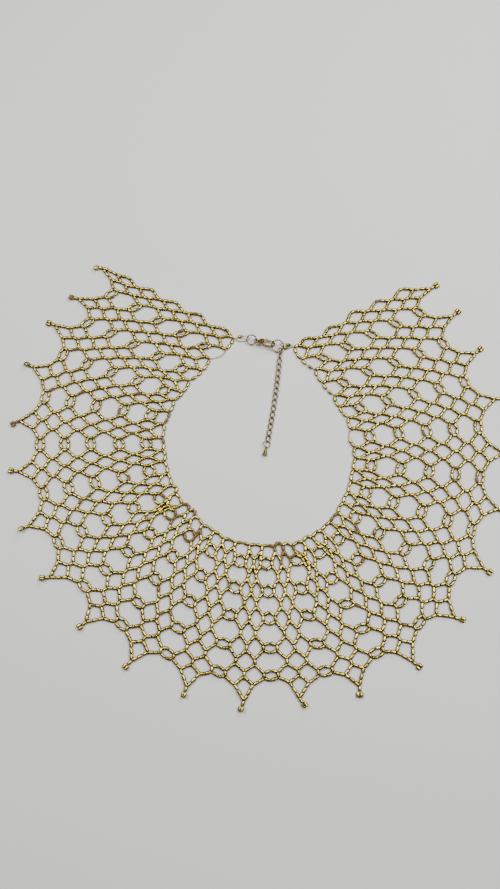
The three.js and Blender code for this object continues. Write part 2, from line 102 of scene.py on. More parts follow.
camera_data = bpy.data.cameras.new("camera")
camera_data.lens = camera_data.sensor_width / 2 / math.tan(FIELD_OF_VIEW / 2)
camera_data.clip_start = 10 * MM
camera = in_scene("camera", camera_data)
tilt = Matrix.Rotation(CAMERA_TILT, 4, "X")
step_back = Matrix.Translation((0, 0, CAMERA_DISTANCE))
camera.matrix_world = Matrix.Translation(CAMERA_TARGET) @ tilt @ step_back
bpy.context.scene.camera = camera
print("lens", round(camera_data.lens, 2), "mm")

# %% [markdown]
# ## The lie of the net
#
# Each of the 23 nets, or sectors, is a lattice of junction beads that point at the neck.
# The outermost row holds one, and after it rows of two and three take turns. Two beads of
# netting run from the inner end of every junction to the outer ends of the next row, and
# neighbouring sectors share small ovals of four beads. The real net finds its shape because
# a thread can't stretch: we lay the lattice out by formula, then let the threads pull it
# into place, pass after pass. The plan is flat, so its points are complex numbers, which
# turn and add in one step.

# %% Sizes of the net, in millimetres
BEAD_PITCH = 3.2  # one bead with its share of bare thread
SIDE_LENGTH = 6.7  # two beads between junction beads
OVAL_LENGTH = 8  # the two beads that join neighbouring sectors
SLACK = 0.85  # how short either can fold, as a part of its length
STRAND_SPACE = 2.0  # strands of one row lie at least this far apart
NECK_ARC_LENGTH = 7.4  # thread of the two beads between neck junctions
WIDEST_STEP = 5.6  # sideways from one column of the lattice to the next
OVAL_WIDTH = 4
COLUMN_STEPS = 4  # columns of a sector run from -2 to 2
ROWS = 11  # rows of junctions, from 0 at the point to 11 at the neck
OVAL_ROWS = (2, 4, 6, 8, 10)
SETTLE_PASSES = 300
SMOOTH_PASSES = 210
SMOOTH_SHARE = 0.2
NECK_STRETCH = 0.15  # how much further apart the rows lie at the neck than at mid-net
ORIGIN_SHIFT = complex(-0.47, 0.31)  # puts the origin under the middle of the collar

# One row per sector, from the collar's left end round to its right end.
# x, y     middle of the sector's two neck junctions
# gap      distance between those two junctions
# reach    from that middle out to the junction at the sector's point
# bearing  direction of the point, in degrees anticlockwise from +X
# lean     how far the point's end beads turn off that bearing, in degrees
Sector = namedtuple("Sector", "x y gap reach bearing lean")
SECTOR_TABLE = [
    Sector(-19, 83.5, 9.5, 101, 147, 28),
    Sector(-34, 69, 9.5, 97, 151, 19),
    Sector(-46.5, 54, 9, 96, 153.5, 9),
    Sector(-55, 41, 8, 93, 163.5, -7),
    Sector(-60, 24.5, 9, 90, 175.5, 37),
    Sector(-59, 8.5, 7, 89, 186.5, -13),
    Sector(-55, -6.5, 8, 88, 199, 6),
    Sector(-49, -18.5, 8, 88, 212.5, -29),
    Sector(-41, -27.5, 5, 87, 227, -8),
    Sector(-31, -36.5, 8, 87, 241, -14),
    Sector(-18, -44, 7.5, 86, 254, -1),
    Sector(-2.5, -47, 7.5, 87.5, 265.5, -15),
    Sector(11, -47.5, 5, 86, 277, 32),
    Sector(22.5, -46, 7, 87, 292.5, -25),
    Sector(34, -40, 7, 90, 305.5, 18),
    Sector(44.5, -30, 7.5, 89.5, 319, 24),
    Sector(52, -18, 7, 89.5, 332, -9),
    Sector(56.5, -4, 7.5, 89.5, 346.5, -24),
    Sector(59, 10.5, 7, 91, 360, 0),
    Sector(56, 29.5, 7.5, 94, 370, -7),
    Sector(48.5, 44, 8, 96, 380, 21),
    Sector(37.5, 61, 10, 98.5, 385.5, 16),
    Sector(24.5, 77, 9.5, 100, 387.5, 5),
]
SECTORS = range(len(SECTOR_TABLE))
LAST = SECTORS[-1]

# The two free edges: how far their junctions stand off the straight line, outwards.
FREE_EDGES = [
    dict(sector=0, side=-1, bow=(2.3, 2.7, 2.7, 3.2, 2.3)),
    dict(sector=LAST, side=1, bow=(7.8, 6.8, 6.5, 2.8, 2.3)),
]
print(len(SECTORS), "sectors")


# %% Lay out the lattice
def heading(degrees):
    return cmath.rect(1, math.radians(degrees))


def unit(step):
    return step / abs(step)


def columns_of(row):
    if row == 0:
        return (0,)
    return (-1, 1) if row % 2 else (-2, 0, 2)


neck = [complex(row.x, row.y) for row in SECTOR_TABLE]
outward = [heading(row.bearing) for row in SECTOR_TABLE]
point = [n + out * row.reach for n, out, row in zip(neck, outward, SECTOR_TABLE)]
tip_way = [heading(row.bearing + row.lean) for row in SECTOR_TABLE]
OUTER, INNER = 0, 1  # the two ends of a junction bead
place = {}  # (sector, row, column, end) -> where that end of the junction bead is
held = set()


def row_centre(s, row):
    """The middle of a row of sector s, on the line from its point to its neck."""
    share = row / ROWS
    return point[s] + (neck[s] - point[s]) * (share - NECK_STRETCH * share * (1 - share))


for s in SECTORS:
    first, last = max(0, s - 1), min(LAST, s + 1)
    for row in range(ROWS + 1):
        across = row_centre(last, row) - row_centre(first, row)
        step = min(WIDEST_STEP, (abs(across) / (last - first) - OVAL_WIDTH) / COLUMN_STEPS)
        sideways = unit(unit(across) + outward[s] * 1j)
        for column in columns_of(row):
            centre = row_centre(s, row) + sideways * step * column
            place[s, row, column, OUTER] = centre + outward[s] * BEAD_PITCH / 2
            place[s, row, column, INNER] = centre - outward[s] * BEAD_PITCH / 2
print(len(place) // 2, "junction beads")


# %% Hold the neck, the points and the free edges
def hold(s, row, column, inner, direction):
    """Puts a junction bead in its place for good."""
    place[s, row, column, INNER] = inner
    place[s, row, column, OUTER] = inner + direction * BEAD_PITCH
    held.update({(s, row, column, OUTER), (s, row, column, INNER)})


for s, sector in enumerate(SECTOR_TABLE):
    for side in (-1, 1):
        hold(s, ROWS, side, neck[s] + outward[s] * 1j * side * sector.gap / 2, outward[s])
    hold(s, 0, 0, point[s], tip_way[s])

for edge in FREE_EDGES:
    s, side = edge["sector"], edge["side"]
    start, end = point[s], place[s, ROWS, side, INNER]
    edge_out = unit(start - end)
    for row, bow in zip(OVAL_ROWS, edge["bow"]):
        centre = start + (end - start) * row / ROWS + edge_out * 1j * side * bow
        hold(s, row, 2 * side, centre - edge_out * BEAD_PITCH / 2, edge_out)
print(len(held) // 2, "of them are held")


# %% Let the threads pull the net into place
def threads():
    """Every stretch of thread: its two ends, and its least and greatest length."""
    for s in SECTORS:
        for row in range(ROWS + 1):
            columns = columns_of(row)
            for column in columns:
                yield (s, row, column, OUTER), (s, row, column, INNER), BEAD_PITCH, BEAD_PITCH
                for beside in (column - 1, column + 1):
                    if (s, row + 1, beside, OUTER) in place:
                        yield ((s, row, column, INNER), (s, row + 1, beside, OUTER),
                               SIDE_LENGTH * SLACK, SIDE_LENGTH)
            for left, right in zip(columns, columns[1:]):
                for end in (OUTER, INNER):
                    yield (s, row, left, end), (s, row, right, end), STRAND_SPACE, math.inf
        if s < LAST:
            for row in OVAL_ROWS:
                for end in (OUTER, INNER):
                    yield ((s, row, 2, end), (s + 1, row, -2, end),
                           OVAL_LENGTH * SLACK, OVAL_LENGTH)


def neighbours(s, row, column, end):
    found = ((s, row, column + step, end) for step in (-1, 1))
    return [key for key in found if key in place]


inside = []
for s in SECTORS:
    for row in range(1, ROWS):
        for column in columns_of(row):
            above = neighbours(s, row - 1, column, INNER)
            below = neighbours(s, row + 1, column, OUTER)
            in_oval = row in OVAL_ROWS and (column == 2 and s < LAST or column == -2 and s > 0)
            inside.append(((s, row, column), above, below, in_oval))


def mean(keys):
    return sum(place[key] for key in keys) / len(keys)


def smooth():
    """Eases each junction towards the middle of its neighbours, and turns it their way."""
    moves = []
    for key, above, below, in_oval in inside:
        high, low = mean(above), mean(below)
        out = unit(high - low)
        own = (place[*key, OUTER] + place[*key, INNER]) / 2
        target = (high + low) / 2
        if in_oval:
            target = own + out * ((target - own) * out.conjugate()).real
        moves.append((key, target, out))
    for key, target, out in moves:
        for end, reach in ((OUTER, BEAD_PITCH / 2), (INNER, -BEAD_PITCH / 2)):
            if (*key, end) not in held:
                place[*key, end] += (target + out * reach - place[*key, end]) * SMOOTH_SHARE


ties = list(threads())
for settle in range(SETTLE_PASSES):
    if settle < SMOOTH_PASSES:
        smooth()
    for a, b, least, most in ties:
        span = place[b] - place[a]
        excess = abs(span) - min(most, max(least, abs(span)))
        if excess == 0 or (a in held and b in held):
            continue
        share = 1 if a in held or b in held else 0.5
        pull = unit(span) * excess * share
        if a not in held:
            place[a] += pull
        if b not in held:
            place[b] -= pull
print(len(ties), "threads settled")

# %% [markdown]
# ## Stringing
#
# A run is one stretch of thread: a list of corners, with one bead on each leg. Where two
# junctions have come closer together than two beads are long, the beads can't lie in a
# line, so the run gets a knee, and the knee bows out and rises off the table as it does
# in real netting. We only note where the beads go here. Their shape comes next.

# %% Stringing helpers
BEAD_LENGTH = 2.8
LONGEST = 1.15  # beads differ in length, and the longer ones go where there is more thread
BEAD_PLAY = 0.03  # part of its length that a long bead leaves free
REST_HEIGHT = 1.0  # of the thread above the table
SEED = 23
SLIDE = 0.06  # beads never sit quite in the middle of their thread
LEAST_KNEE = 0.02  # a pulled run still bends a little: the height of its knee, squared
dice = random.Random(SEED)
beads = defaultdict(list)  # piece -> [(middle, direction, stretch)]
runs = defaultdict(list)  # piece -> [corners of a thread]


def lift(spot, height=REST_HEIGHT):
    """A spot of the plan, as a point above the table."""
    spot += ORIGIN_SHIFT
    return Vector((spot.real, spot.imag, height))


def string(piece, corners, together=0.0):
    """One bead on each leg. together is the part of the bare thread that two beads give up
    to lie end to end."""
    for index, (start, end) in enumerate(zip(corners, corners[1:])):
        way = (end - start).normalized()
        stretch = min(LONGEST, max(1, (end - start).length / BEAD_LENGTH - BEAD_PLAY))
        bare = max(0, (end - start).length - BEAD_LENGTH * stretch) / 2
        onward = bare * together * (1 if index == 0 else -1)
        middle = (start + end) / 2 + way * (onward + dice.uniform(-SLIDE, SLIDE))
        beads[piece].append((middle, way, stretch))
    runs[piece].append(corners)


def knee(start, end, leg, away, rise):
    """Where the two equal legs of a run meet. The knee points along away, turned up by the
    angle rise."""
    half = (end - start).length / 2
    height = math.sqrt(max(leg ** 2 - half ** 2, LEAST_KNEE))
    return (start + end) / 2 + (away * math.cos(rise) + UP * math.sin(rise)) * height


def place_on(line, distance):
    """The point at that distance along a line, and the line's direction there."""
    for start, end in zip(line, line[1:]):
        leg = (end - start).length
        if distance <= leg:
            return start.lerp(end, distance / leg), (end - start).normalized()
        distance -= leg


print("stringing with", BEAD_LENGTH, "mm beads")

# %% [markdown]
# ## Stringing the net
#
# Now every run of the plan is strung: the junction beads, the sides of the net, the ovals
# that tie neighbouring sectors together and the points. Each point ends in one slim bead
# and a picot, two beads that lie side by side because the thread turns back through them.

# %% Corners and sides of a sector
JUNCTION_TUCK = 0.06  # part of its pitch that a junction bead gives up at either end
HEIGHT_SPREAD = (-0.05, 0.25)  # how far junctions lie below or above the rest height
heights = {key: REST_HEIGHT + dice.uniform(*HEIGHT_SPREAD) for key in place}


def corner(key):
    """An end of a junction bead, drawn in a little so that the sides meet at its hole."""
    s, row, column, end = key
    mate = place[s, row, column, 1 - end]
    return lift(place[key] + (mate - place[key]) * JUNCTION_TUCK, heights[key])


def panel_name(s):
    return f"net_{s + 1:02d}"


def sides_of(s):
    """Both ends of every side of sector s, from its point to its neck."""
    for row in range(ROWS):
        for column in columns_of(row):
            for beside in (column - 1, column + 1):
                if (s, row + 1, beside, OUTER) in place:
                    yield corner((s, row, column, INNER)), corner((s, row + 1, beside, OUTER))


def flat_left(way):
    return Vector((-way.y, way.x, 0)).normalized()


print(panel_name(0), "has", len(list(sides_of(0))), "sides")

# %% String the sectors
SIDE_PITCH = 2.85  # the two beads of a side lie end to end, with bare thread outside them
SIDE_RISE = (25, 70)  # degrees that a side's knee turns up off the table
WOBBLE = 0.3  # how far that knee strays sideways

for s in SECTORS:
    piece = panel_name(s)
    for row in range(1, ROWS + 1):
        for column in columns_of(row):
            string(piece, [corner((s, row, column, OUTER)), corner((s, row, column, INNER))])
    for start, end in sides_of(s):
        away = flat_left(end - start) * (1 if dice.random() < 0.5 else -1)
        bend = knee(start, end, SIDE_PITCH, away, math.radians(dice.uniform(*SIDE_RISE)))
        bend += away * dice.uniform(-WOBBLE, WOBBLE)
        bend += (end - start).normalized() * dice.uniform(-SLIDE, SLIDE)
        string(piece, [start, bend, end], together=0.8)
print(sum(len(strung) for strung in beads.values()), "beads in the sectors")

# %% String the ovals
OVAL_PITCH = 4.25  # a bead with the bare thread that lets an oval open
OVAL_RISE = (0, 25)  # degrees

for s in range(LAST):
    for row in OVAL_ROWS:
        for end, side in ((OUTER, 1), (INNER, -1)):
            left, right = corner((s, row, 2, end)), corner((s + 1, row, -2, end))
            out = unit(place[s, row, 2, OUTER] - place[s, row, 2, INNER]) * side
            rise = math.radians(dice.uniform(*OVAL_RISE))
            bend = knee(left, right, OVAL_PITCH, Vector((out.real, out.imag, 0)), rise)
            bend.z = max(bend.z, REST_HEIGHT)
            string(panel_name(s), [left, bend, right], together=0.5)
print(LAST * len(OVAL_ROWS), "ovals")

# %% String the points
PICOT_SPREAD = 0.95  # half the distance between its two beads
PICOT_PITCH = 3.1
PICOT_GAP = 0.2  # bare thread before it
PICOT_ROLL = 60  # degrees that it may roll either way

for s in SECTORS:
    piece = panel_name(s)
    start, end = corner((s, 0, 0, INNER)), corner((s, 0, 0, OUTER))
    string(piece, [start, end])
    way = (end - start).normalized()
    roll = math.radians(dice.uniform(-PICOT_ROLL, PICOT_ROLL))
    spread = flat_left(way) * math.cos(roll) * PICOT_SPREAD
    lifted = UP * abs(math.sin(roll)) * PICOT_SPREAD
    for side in (-1, 1):
        foot = end + way * PICOT_GAP + spread * side + lifted * (1 + side)
        string(piece, [foot, foot + way * PICOT_PITCH])
print(sum(len(strung) for strung in beads.values()), "beads strung so far")

# %% [markdown]
# ## The neck edge
#
# The neck edge is one thread from end to end of the collar. Between the neck junctions it
# carries two beads that bulge into the neck opening. Where the junctions lie far apart the
# two beads slide along the thread and leave some of it bare. In two gaps between sectors the
# thread is a slack curve, with no beads in one and both beads at one end in the other.

# %% String the neck edge
LEAST_SAG = 2  # squared, in square millimetres
NECK_RISE = 0.3
SLACK_GAPS = {0: [], 18: [2, 4.9]}  # after these sectors, and how far along it the beads lie
SLACK_SAG = 2.3
SLACK_STEPS = 8

neck_ends = [(place[s, ROWS, side, INNER], outward[s]) for s in SECTORS for side in (-1, 1)]
for index, (left, right) in enumerate(zip(neck_ends, neck_ends[1:])):
    (start, start_out), (end, end_out) = left, right
    inwards = -unit(start_out + end_out)
    if index % 2 and index // 2 in SLACK_GAPS:
        shares = [step / SLACK_STEPS for step in range(SLACK_STEPS + 1)]
        bows = [inwards * 4 * SLACK_SAG * share * (1 - share) for share in shares]  # a parabola
        line = [lift(start + (end - start) * share + bow) for share, bow in zip(shares, bows)]
        runs["neck_beads"].append(line)
        for distance in SLACK_GAPS[index // 2]:
            beads["neck_beads"].append((*place_on(line, distance), 1))
    else:
        sag = math.sqrt(max(LEAST_SAG, NECK_ARC_LENGTH ** 2 - abs(end - start) ** 2)) / 2
        bend = lift((start + end) / 2 + inwards * sag, REST_HEIGHT + dice.uniform(0, NECK_RISE))
        string("neck_beads", [lift(start), bend, lift(end)], together=0.3)
print(len(beads["neck_beads"]), "beads on the neck thread")

# %% [markdown]
# ## Where the fastening lies
#
# The frame says where the clasp is: its record gives the lever's pin and the way the pin
# points. The clasp lies on one flank, rolled about its length, so the pin leans too. From
# the pin we step back to the clasp's eye and build two frames there: one rolled with the
# clasp, and a level one for the rings and the strung loops. Both have +X along the clasp.

# %% Frames of the fastening
PIN_AT = (3.6, 1.25)  # from the middle of the clasp's eye

hinge = frame["record"]["behaviour"]["joints"][0]
clasp_up = -Vector(hinge["axis"]).normalized()
clasp_way = clasp_up.cross(UP).normalized()
eye_at = Vector(hinge["pos_m"]) / MM - clasp_way * PIN_AT[0] - clasp_up.cross(clasp_way) * PIN_AT[1]


def frame_at(middle, way, up):
    """A matrix with +X along way and +Z along up, at middle."""
    turn = Matrix((way, up.cross(way), up)).transposed().to_4x4()
    return Matrix.Translation(middle) @ turn


CLASP_FRAME = frame_at(eye_at, clasp_way, clasp_up)
LEVEL_FRAME = frame_at(eye_at, clasp_way, UP)
print("the clasp's eye is at", [round(x, 2) for x in eye_at], "mm")

# %% [markdown]
# ## The end loops
#
# Each end of the neck thread is tied to its jump ring by a small loop. The thread leaves
# the net through a bead, passes over the ring and comes back below it, on the right
# through a second bead. We draw the loop as a closed route, smooth it, and thread beads on
# it at measured distances, so that the bare thread round the ring stays bare.

# %% Routes and beads of the end loops
LOOP_STEPS = 6
# route     points of the loop, from the middle of the clasp's eye
# beads_at  how far along it each bead lies, counted from its end where negative
END_LOOPS = {
    "end_beads_left": dict(
        node="end_loop_left", tied_to=neck_ends[0][0],
        route=[(-13.1, -1, -2.3), (-12.2, 0.7, -1.8), (-9.8, 1.5, -1.25), (-7.8, 1.3, 0.4),
               (-6.4, 0.85, 1.95), (-5, 0.5, 1.2), (-4.75, 0.15, -0.4), (-5.9, -0.15, -1.6),
               (-7.4, -1, -2.1), (-9.5, -1.75, -2.4), (-11.7, -1.85, -2.45)],
        beads_at=[3.4],
    ),
    "end_beads_right": dict(
        node="end_loop_right", tied_to=neck_ends[-1][0],
        route=[(23.3, 2.8, -2.3), (22, 3.6, -2), (20.4, 3.1, -1.4), (18.7, 2.2, 1.2),
               (17.3, 1.8, 2.3), (16.05, 1.35, 1.3), (15.9, 1.1, -0.2), (17.1, 0.9, -1.25),
               (18.6, 0.8, -1.9), (20.2, 1, -2.4), (22, 1.7, -2.45)],
        beads_at=[3.2, -4.9],
    ),
}


def bent_between(before, start, end, after, t):
    """A point of the Catmull-Rom curve that runs from start to end."""
    leave, arrive = (end - before) / 2, (after - start) / 2
    return (start * (2 * t**3 - 3 * t**2 + 1) + leave * (t**3 - 2 * t**2 + t)
            + end * (3 * t**2 - 2 * t**3) + arrive * (t**3 - t**2))


def smooth_loop(route):
    """A closed curve through the points of a route."""
    line = []
    for i in range(len(route)):
        around = [route[(i + step) % len(route)] for step in (-1, 0, 1, 2)]
        line += [bent_between(*around, k / LOOP_STEPS) for k in range(LOOP_STEPS)]
    return line + line[:1]


for name, loop in END_LOOPS.items():
    line = smooth_loop([LEVEL_FRAME @ Vector(spot) for spot in loop["route"]])
    length = sum((b - a).length for a, b in zip(line, line[1:]))
    for distance in loop["beads_at"]:
        beads[name].append((*place_on(line, distance % length), 1))
    runs[name] += [line, [lift(loop["tied_to"]), line[0]]]
    print(name, "has", len(beads[name]), "beads on", round(length, 1), "mm of thread")

# %% [markdown]
# ## One bead
#
# A bugle bead is a short length of glass tube with a hole for the thread and slightly
# rounded ends. Its half profile, spun once round, makes it in a single step. The collar
# needs more than three thousand, so the bead has only eight sides and its rounding is one
# narrow band. It is made here once, as arrays of corners and faces.

# %% Model one bead
BEAD_SIDES = 8
BEAD_RADIUS = 1.05
BEAD_ROUND = 0.38
BORE_RADIUS = 0.4


def spun(spots, axis, sides, closed=False):
    """Turns half an outline into a solid, once round an axis through the origin."""
    bm = bmesh.new()
    verts = [bm.verts.new(spot) for spot in spots]
    following = verts[1:] + (verts[:1] if closed else [])
    edges = [bm.edges.new(pair) for pair in zip(verts, following)]
    bmesh.ops.spin(bm, geom=verts + edges, cent=(0, 0, 0), axis=axis, dvec=(0, 0, 0),
                   angle=math.tau, steps=sides, use_merge=True, use_duplicate=False)
    bmesh.ops.remove_doubles(bm, verts=bm.verts, dist=TINY)
    bmesh.ops.recalc_face_normals(bm, faces=bm.faces)
    return bm


half = BEAD_LENGTH / 2
profile = [
    (BORE_RADIUS, 0, half), (BORE_RADIUS, 0, -half),
    (BEAD_RADIUS - BEAD_ROUND, 0, -half), (BEAD_RADIUS, 0, BEAD_ROUND - half),
    (BEAD_RADIUS, 0, half - BEAD_ROUND), (BEAD_RADIUS - BEAD_ROUND, 0, half),
]
bm = spun(profile, (0, 0, 1), BEAD_SIDES, closed=True)
bm.verts.index_update()
bead_corners = np.array([v.co for v in bm.verts])
bead_faces = np.array([[v.index for v in face.verts] for face in bm.faces])
bm.free()

# 1 for a corner on a cut end, 0 for a corner on the wall. The material paints shade on the cut
# ends.
at_an_end = (abs(bead_corners[:, 2]) > half - TINY).astype(float)
print("one bead has", len(bead_corners), "corners and", len(bead_faces), "faces")

# %% [markdown]
# ## Gold finishes
#
# The beads are glass with a metallic coat. They share one gold, but no two batches match:
# some beads are paler, some are older and browner, and here and there a clear amber bead
# is strung among them. The mesh carries two numbers for each bead, tone and amber, and the
# material reads them. A third number marks the cut ends. Shade is painted into the colour:
# a bead turns to brown towards its flanks, as its faces turn away from the camera, and at
# its cut ends, where the beads meet. A node group of fine scratches and dull spots is used
# by every finish on the collar, with its own values in each.

# %% Node helpers
def fill(tree, node, inputs):
    """Sets a node's inputs, by name or number: a socket is linked, anything else is a value."""
    for key, given in inputs.items():
        if isinstance(given, bpy.types.NodeSocket):
            tree.links.new(given, node.inputs[key])
        else:
            node.inputs[key].default_value = given


def add(tree, kind, inputs=None, **settings):
    """A new node with its inputs filled and its own settings made."""
    node = tree.nodes.new("ShaderNode" + kind)
    for key, value in settings.items():
        setattr(node, key, value)
    fill(tree, node, inputs or {})
    return node


def mix(tree, factor, first, second):
    """Blends two colours. They are inputs 6 and 7 of the node, and the blend is output 2."""
    return add(tree, "Mix", data_type="RGBA", inputs={0: factor, 6: first, 7: second}).outputs[2]


def ranged(tree, value, low, high, to_low, to_high):
    """Turns low to high into to_low to to_high, with soft ends."""
    inputs = {"Value": value, "From Min": low, "From Max": high, "To Min": to_low,
              "To Max": to_high}
    return add(tree, "MapRange", inputs, interpolation_type="SMOOTHSTEP").outputs["Result"]


def new_material(name, metallic):
    material = bpy.data.materials.new(name)
    material.use_nodes = True
    tree = material.node_tree
    shader = tree.nodes["Principled BSDF"]
    shader.inputs["Metallic"].default_value = metallic
    return material, tree, shader


print("helpers ready")

# %% The wear group
SPOTS = (0.45, 0.7)  # noise below the first is clean, above the second a full dull spot
RELIEF = 0.05 * MM  # height of the scratches


def wear_group():
    group = bpy.data.node_groups.new("metal_wear", "ShaderNodeTree")
    sockets = {"INPUT": "Size Dullness Roughness", "OUTPUT": "Mask Roughness Height"}
    for in_out, names in sockets.items():
        for name in names.split():
            group.interface.new_socket(name, in_out=in_out, socket_type="NodeSocketFloat")
    given = group.nodes.new("NodeGroupInput").outputs
    where = add(group, "TexCoord").outputs["Object"]
    noise = add(group, "TexNoise", {"Vector": where, "Scale": given["Size"], "Detail": 3})
    noise = noise.outputs["Fac"]
    spots = add(group, "MapRange", {"Value": noise, "From Min": SPOTS[0], "From Max": SPOTS[1]})
    mask = spots.outputs["Result"]
    worn = add(group, "Math", {0: mask, 1: given["Dullness"]}, operation="MULTIPLY")
    rough = add(group, "Math", {0: worn.outputs[0], 1: given["Roughness"]}, operation="ADD")
    out = group.nodes.new("NodeGroupOutput")
    fill(group, out, {"Mask": mask, "Roughness": rough.outputs[0], "Height": noise})
    return group


WEAR = wear_group()


def add_wear(tree, shader, size, dullness, roughness, bump):
    """Gives a shader its roughness and fine relief, and puts out the mask of dull spots."""
    wear = tree.nodes.new("ShaderNodeGroup")
    wear.node_tree = WEAR
    fill(tree, wear, {"Size": size, "Dullness": dullness, "Roughness": roughness})
    relief = add(tree, "Bump", {"Strength": bump, "Distance": RELIEF,
                                "Height": wear.outputs["Height"]})
    fill(tree, shader, {"Roughness": wear.outputs["Roughness"], "Normal": relief.outputs["Normal"]})
    return wear.outputs["Mask"]


print("wear group with", len(WEAR.nodes), "nodes")

# %% Bead gold
PALE_GOLD = (0.72, 0.565, 0.12, 1)
DEEP_GOLD = (0.4, 0.285, 0.042, 1)
# Painted shade: the brown that the flanks and cut ends of the beads are darkened to.
PAINTED_SHADE_BROWN = (0.052, 0.031, 0.005, 1)
AMBER = (0.17, 0.094, 0.004, 1)
# Painted shade on the flanks: where it starts and where it is full, by how far a face is turned
# away.
FLANK_SHADE_RANGE = (0.04, 0.42)  # how far a face is turned away where the brown starts and is full
FLANK_SHADE = 0.95
# Painted shade at the cut ends, where the beads meet: how far they turn to brown.
CUT_END_SHADE = 0.65
AMBER_CLEARNESS = 0.2


def bead_gold():
    material, tree, shader = new_material("bead_gold", metallic=1.0)
    add_wear(tree, shader, size=700, dullness=0.15, roughness=0.24, bump=0.2)
    tone, amber, cut_end = (add(tree, "Attribute", attribute_name=name).outputs["Fac"]
                            for name in ("tone", "amber", "cut_end"))
    facing = add(tree, "LayerWeight").outputs["Facing"]
    gold = mix(tree, tone, DEEP_GOLD, PALE_GOLD)
    # Painted shade: the gold turns to brown towards the flanks, as a face turns away from the
    # camera.
    gold = mix(tree, ranged(tree, facing, *FLANK_SHADE_RANGE, 0, FLANK_SHADE), gold, PAINTED_SHADE_BROWN)
    # Painted shade at the cut ends, where the beads meet.
    gold = mix(tree, ranged(tree, cut_end, 0, 1, 0, CUT_END_SHADE), gold, PAINTED_SHADE_BROWN)
    fill(tree, shader, {
        "Base Color": mix(tree, amber, gold, AMBER),
        "Metallic": ranged(tree, amber, 0, 1, 1, 0),
        "Transmission Weight": ranged(tree, amber, 0, 1, 0, AMBER_CLEARNESS),
    })
    return material


BEAD_GOLD = bead_gold()
print("material:", BEAD_GOLD.name)

# %% Thread and metals
# colour is that of a clean surface and dull that of its spots. The greater the size, the
# finer the spots.
FINISHES = {
    "beading_thread": dict(colour=(0.34, 0.25, 0.095, 1), dull=(0.22, 0.155, 0.055, 1), size=3000,
                           roughness=0.55, metallic=0.0, bump=0.5),
    "chain_brass": dict(colour=(0.28, 0.21, 0.075, 1), dull=(0.09, 0.063, 0.02, 1), size=900,
                        roughness=0.3),
    "clasp_gold": dict(colour=(0.26, 0.18, 0.055, 1), dull=(0.08, 0.05, 0.014, 1), size=500,
                       roughness=0.25),
    # Painted highlight: a paler copy of the clasp's gold, for the lit lever.
    "lever_gold": dict(colour=(0.62, 0.48, 0.2, 1), dull=(0.3, 0.2, 0.07, 1), size=600,
                       roughness=0.22),
}


def worn_finish(name, colour, dull, size, roughness, metallic=1.0, bump=0.2):
    material, tree, shader = new_material(name, metallic)
    mask = add_wear(tree, shader, size, dullness=0.2, roughness=roughness, bump=bump)
    fill(tree, shader, {"Base Color": mix(tree, mask, colour, dull)})
    return material


THREAD, CHAIN_BRASS, CLASP_GOLD, LEVER_HIGHLIGHT_GOLD = (
    worn_finish(name, **finish) for name, finish in FINISHES.items())
print("materials:", [m.name for m in bpy.data.materials])

# %% [markdown]
# ## Setting the beads out
#
# Thousands of separate objects would be slow, and each would need its own name. Instead,
# the one bead's arrays are turned, moved and stacked into a single mesh for each sector.
# A bead is turned by three unit vectors: along its thread, and two across it that are
# rolled by a random angle, so that the flats of the glass never line up.

# %% Where the amber beads are
# Patches where amber beads are strung: their middle and radius, in millimetres.
Patch = namedtuple("Patch", "x y radius")
AMBER_PATCHES = [
    Patch(-65.2, -19.1, 2.5),
    Patch(-59.8, -17.2, 3),
    Patch(-53.3, -30, 4),
    Patch(-45.1, -22.8, 2.5),
    Patch(-39, -26.5, 2),
    Patch(-42.5, -42.8, 3),
    Patch(-37.8, -38.6, 3),
    Patch(-59.2, 18, 3.5),
    Patch(-56, 33, 4),
    Patch(9, -47, 4),
    Patch(16, -52, 5),
    Patch(-20.5, -70.5, 2),
    Patch(44.1, -28.3, 3),
    Patch(58, -36, 3),
    Patch(-124.5, 117.5, 3.5),
    Patch(-154, 29, 3.5),
]
STRAY_AMBER = 0.012  # share of amber beads anywhere else


def amber_at(middle):
    """1 for an amber bead, 0 for a gold one."""
    if any(math.dist(middle.xy, (patch.x, patch.y)) < patch.radius for patch in AMBER_PATCHES):
        return 1.0
    return float(dice.random() < STRAY_AMBER)


print(len(AMBER_PATCHES), "patches of amber")

# %% Copy the bead
LENGTH_SPREAD = (0.96, 1.02)  # beads of one size still differ a little
WIDTH_SPREAD = (0.94, 1.05)
TONE, TONE_SPREAD = 0.55, 0.22  # from 0, deep gold, to 1, pale gold


def frame_along(way, roll):
    """Three unit vectors: two across way, rolled, and way itself, as matrix columns."""
    across = way.orthogonal().normalized()
    beside = way.cross(across)
    turned = across * math.cos(roll) + beside * math.sin(roll)
    return np.array([turned, way.cross(turned), way]).T


def bead_mesh(name, strung):
    corners, tones, ambers = [], [], []
    for middle, way, stretch in strung:
        turn = frame_along(way, dice.uniform(0, math.tau))
        length = dice.uniform(*LENGTH_SPREAD) * stretch
        width = dice.uniform(*WIDTH_SPREAD)
        copy = (bead_corners * (width, width, length)) @ turn.T + np.array(middle)
        copy[:, 2] -= min(0, copy[:, 2].min())  # a bead lies on the table, not in it
        corners.append(copy)
        tones.append(min(1, max(0, dice.gauss(TONE, TONE_SPREAD))))
        ambers.append(amber_at(middle))
    per_bead = len(bead_corners)
    faces = np.concatenate([bead_faces + per_bead * index for index in range(len(strung))])
    mesh = bpy.data.meshes.new(name)
    mesh.from_pydata((np.concatenate(corners) * MM).tolist(), [], faces.tolist())
    mesh.polygons.foreach_set("use_smooth", [True] * len(mesh.polygons))
    layers = {"tone": np.repeat(tones, per_bead), "amber": np.repeat(ambers, per_bead),
              "cut_end": np.tile(at_an_end, len(strung))}
    for key, values in layers.items():
        layer = mesh.attributes.new(key, "FLOAT", "POINT")
        layer.data.foreach_set("value", values.astype(np.float32))
    return mesh


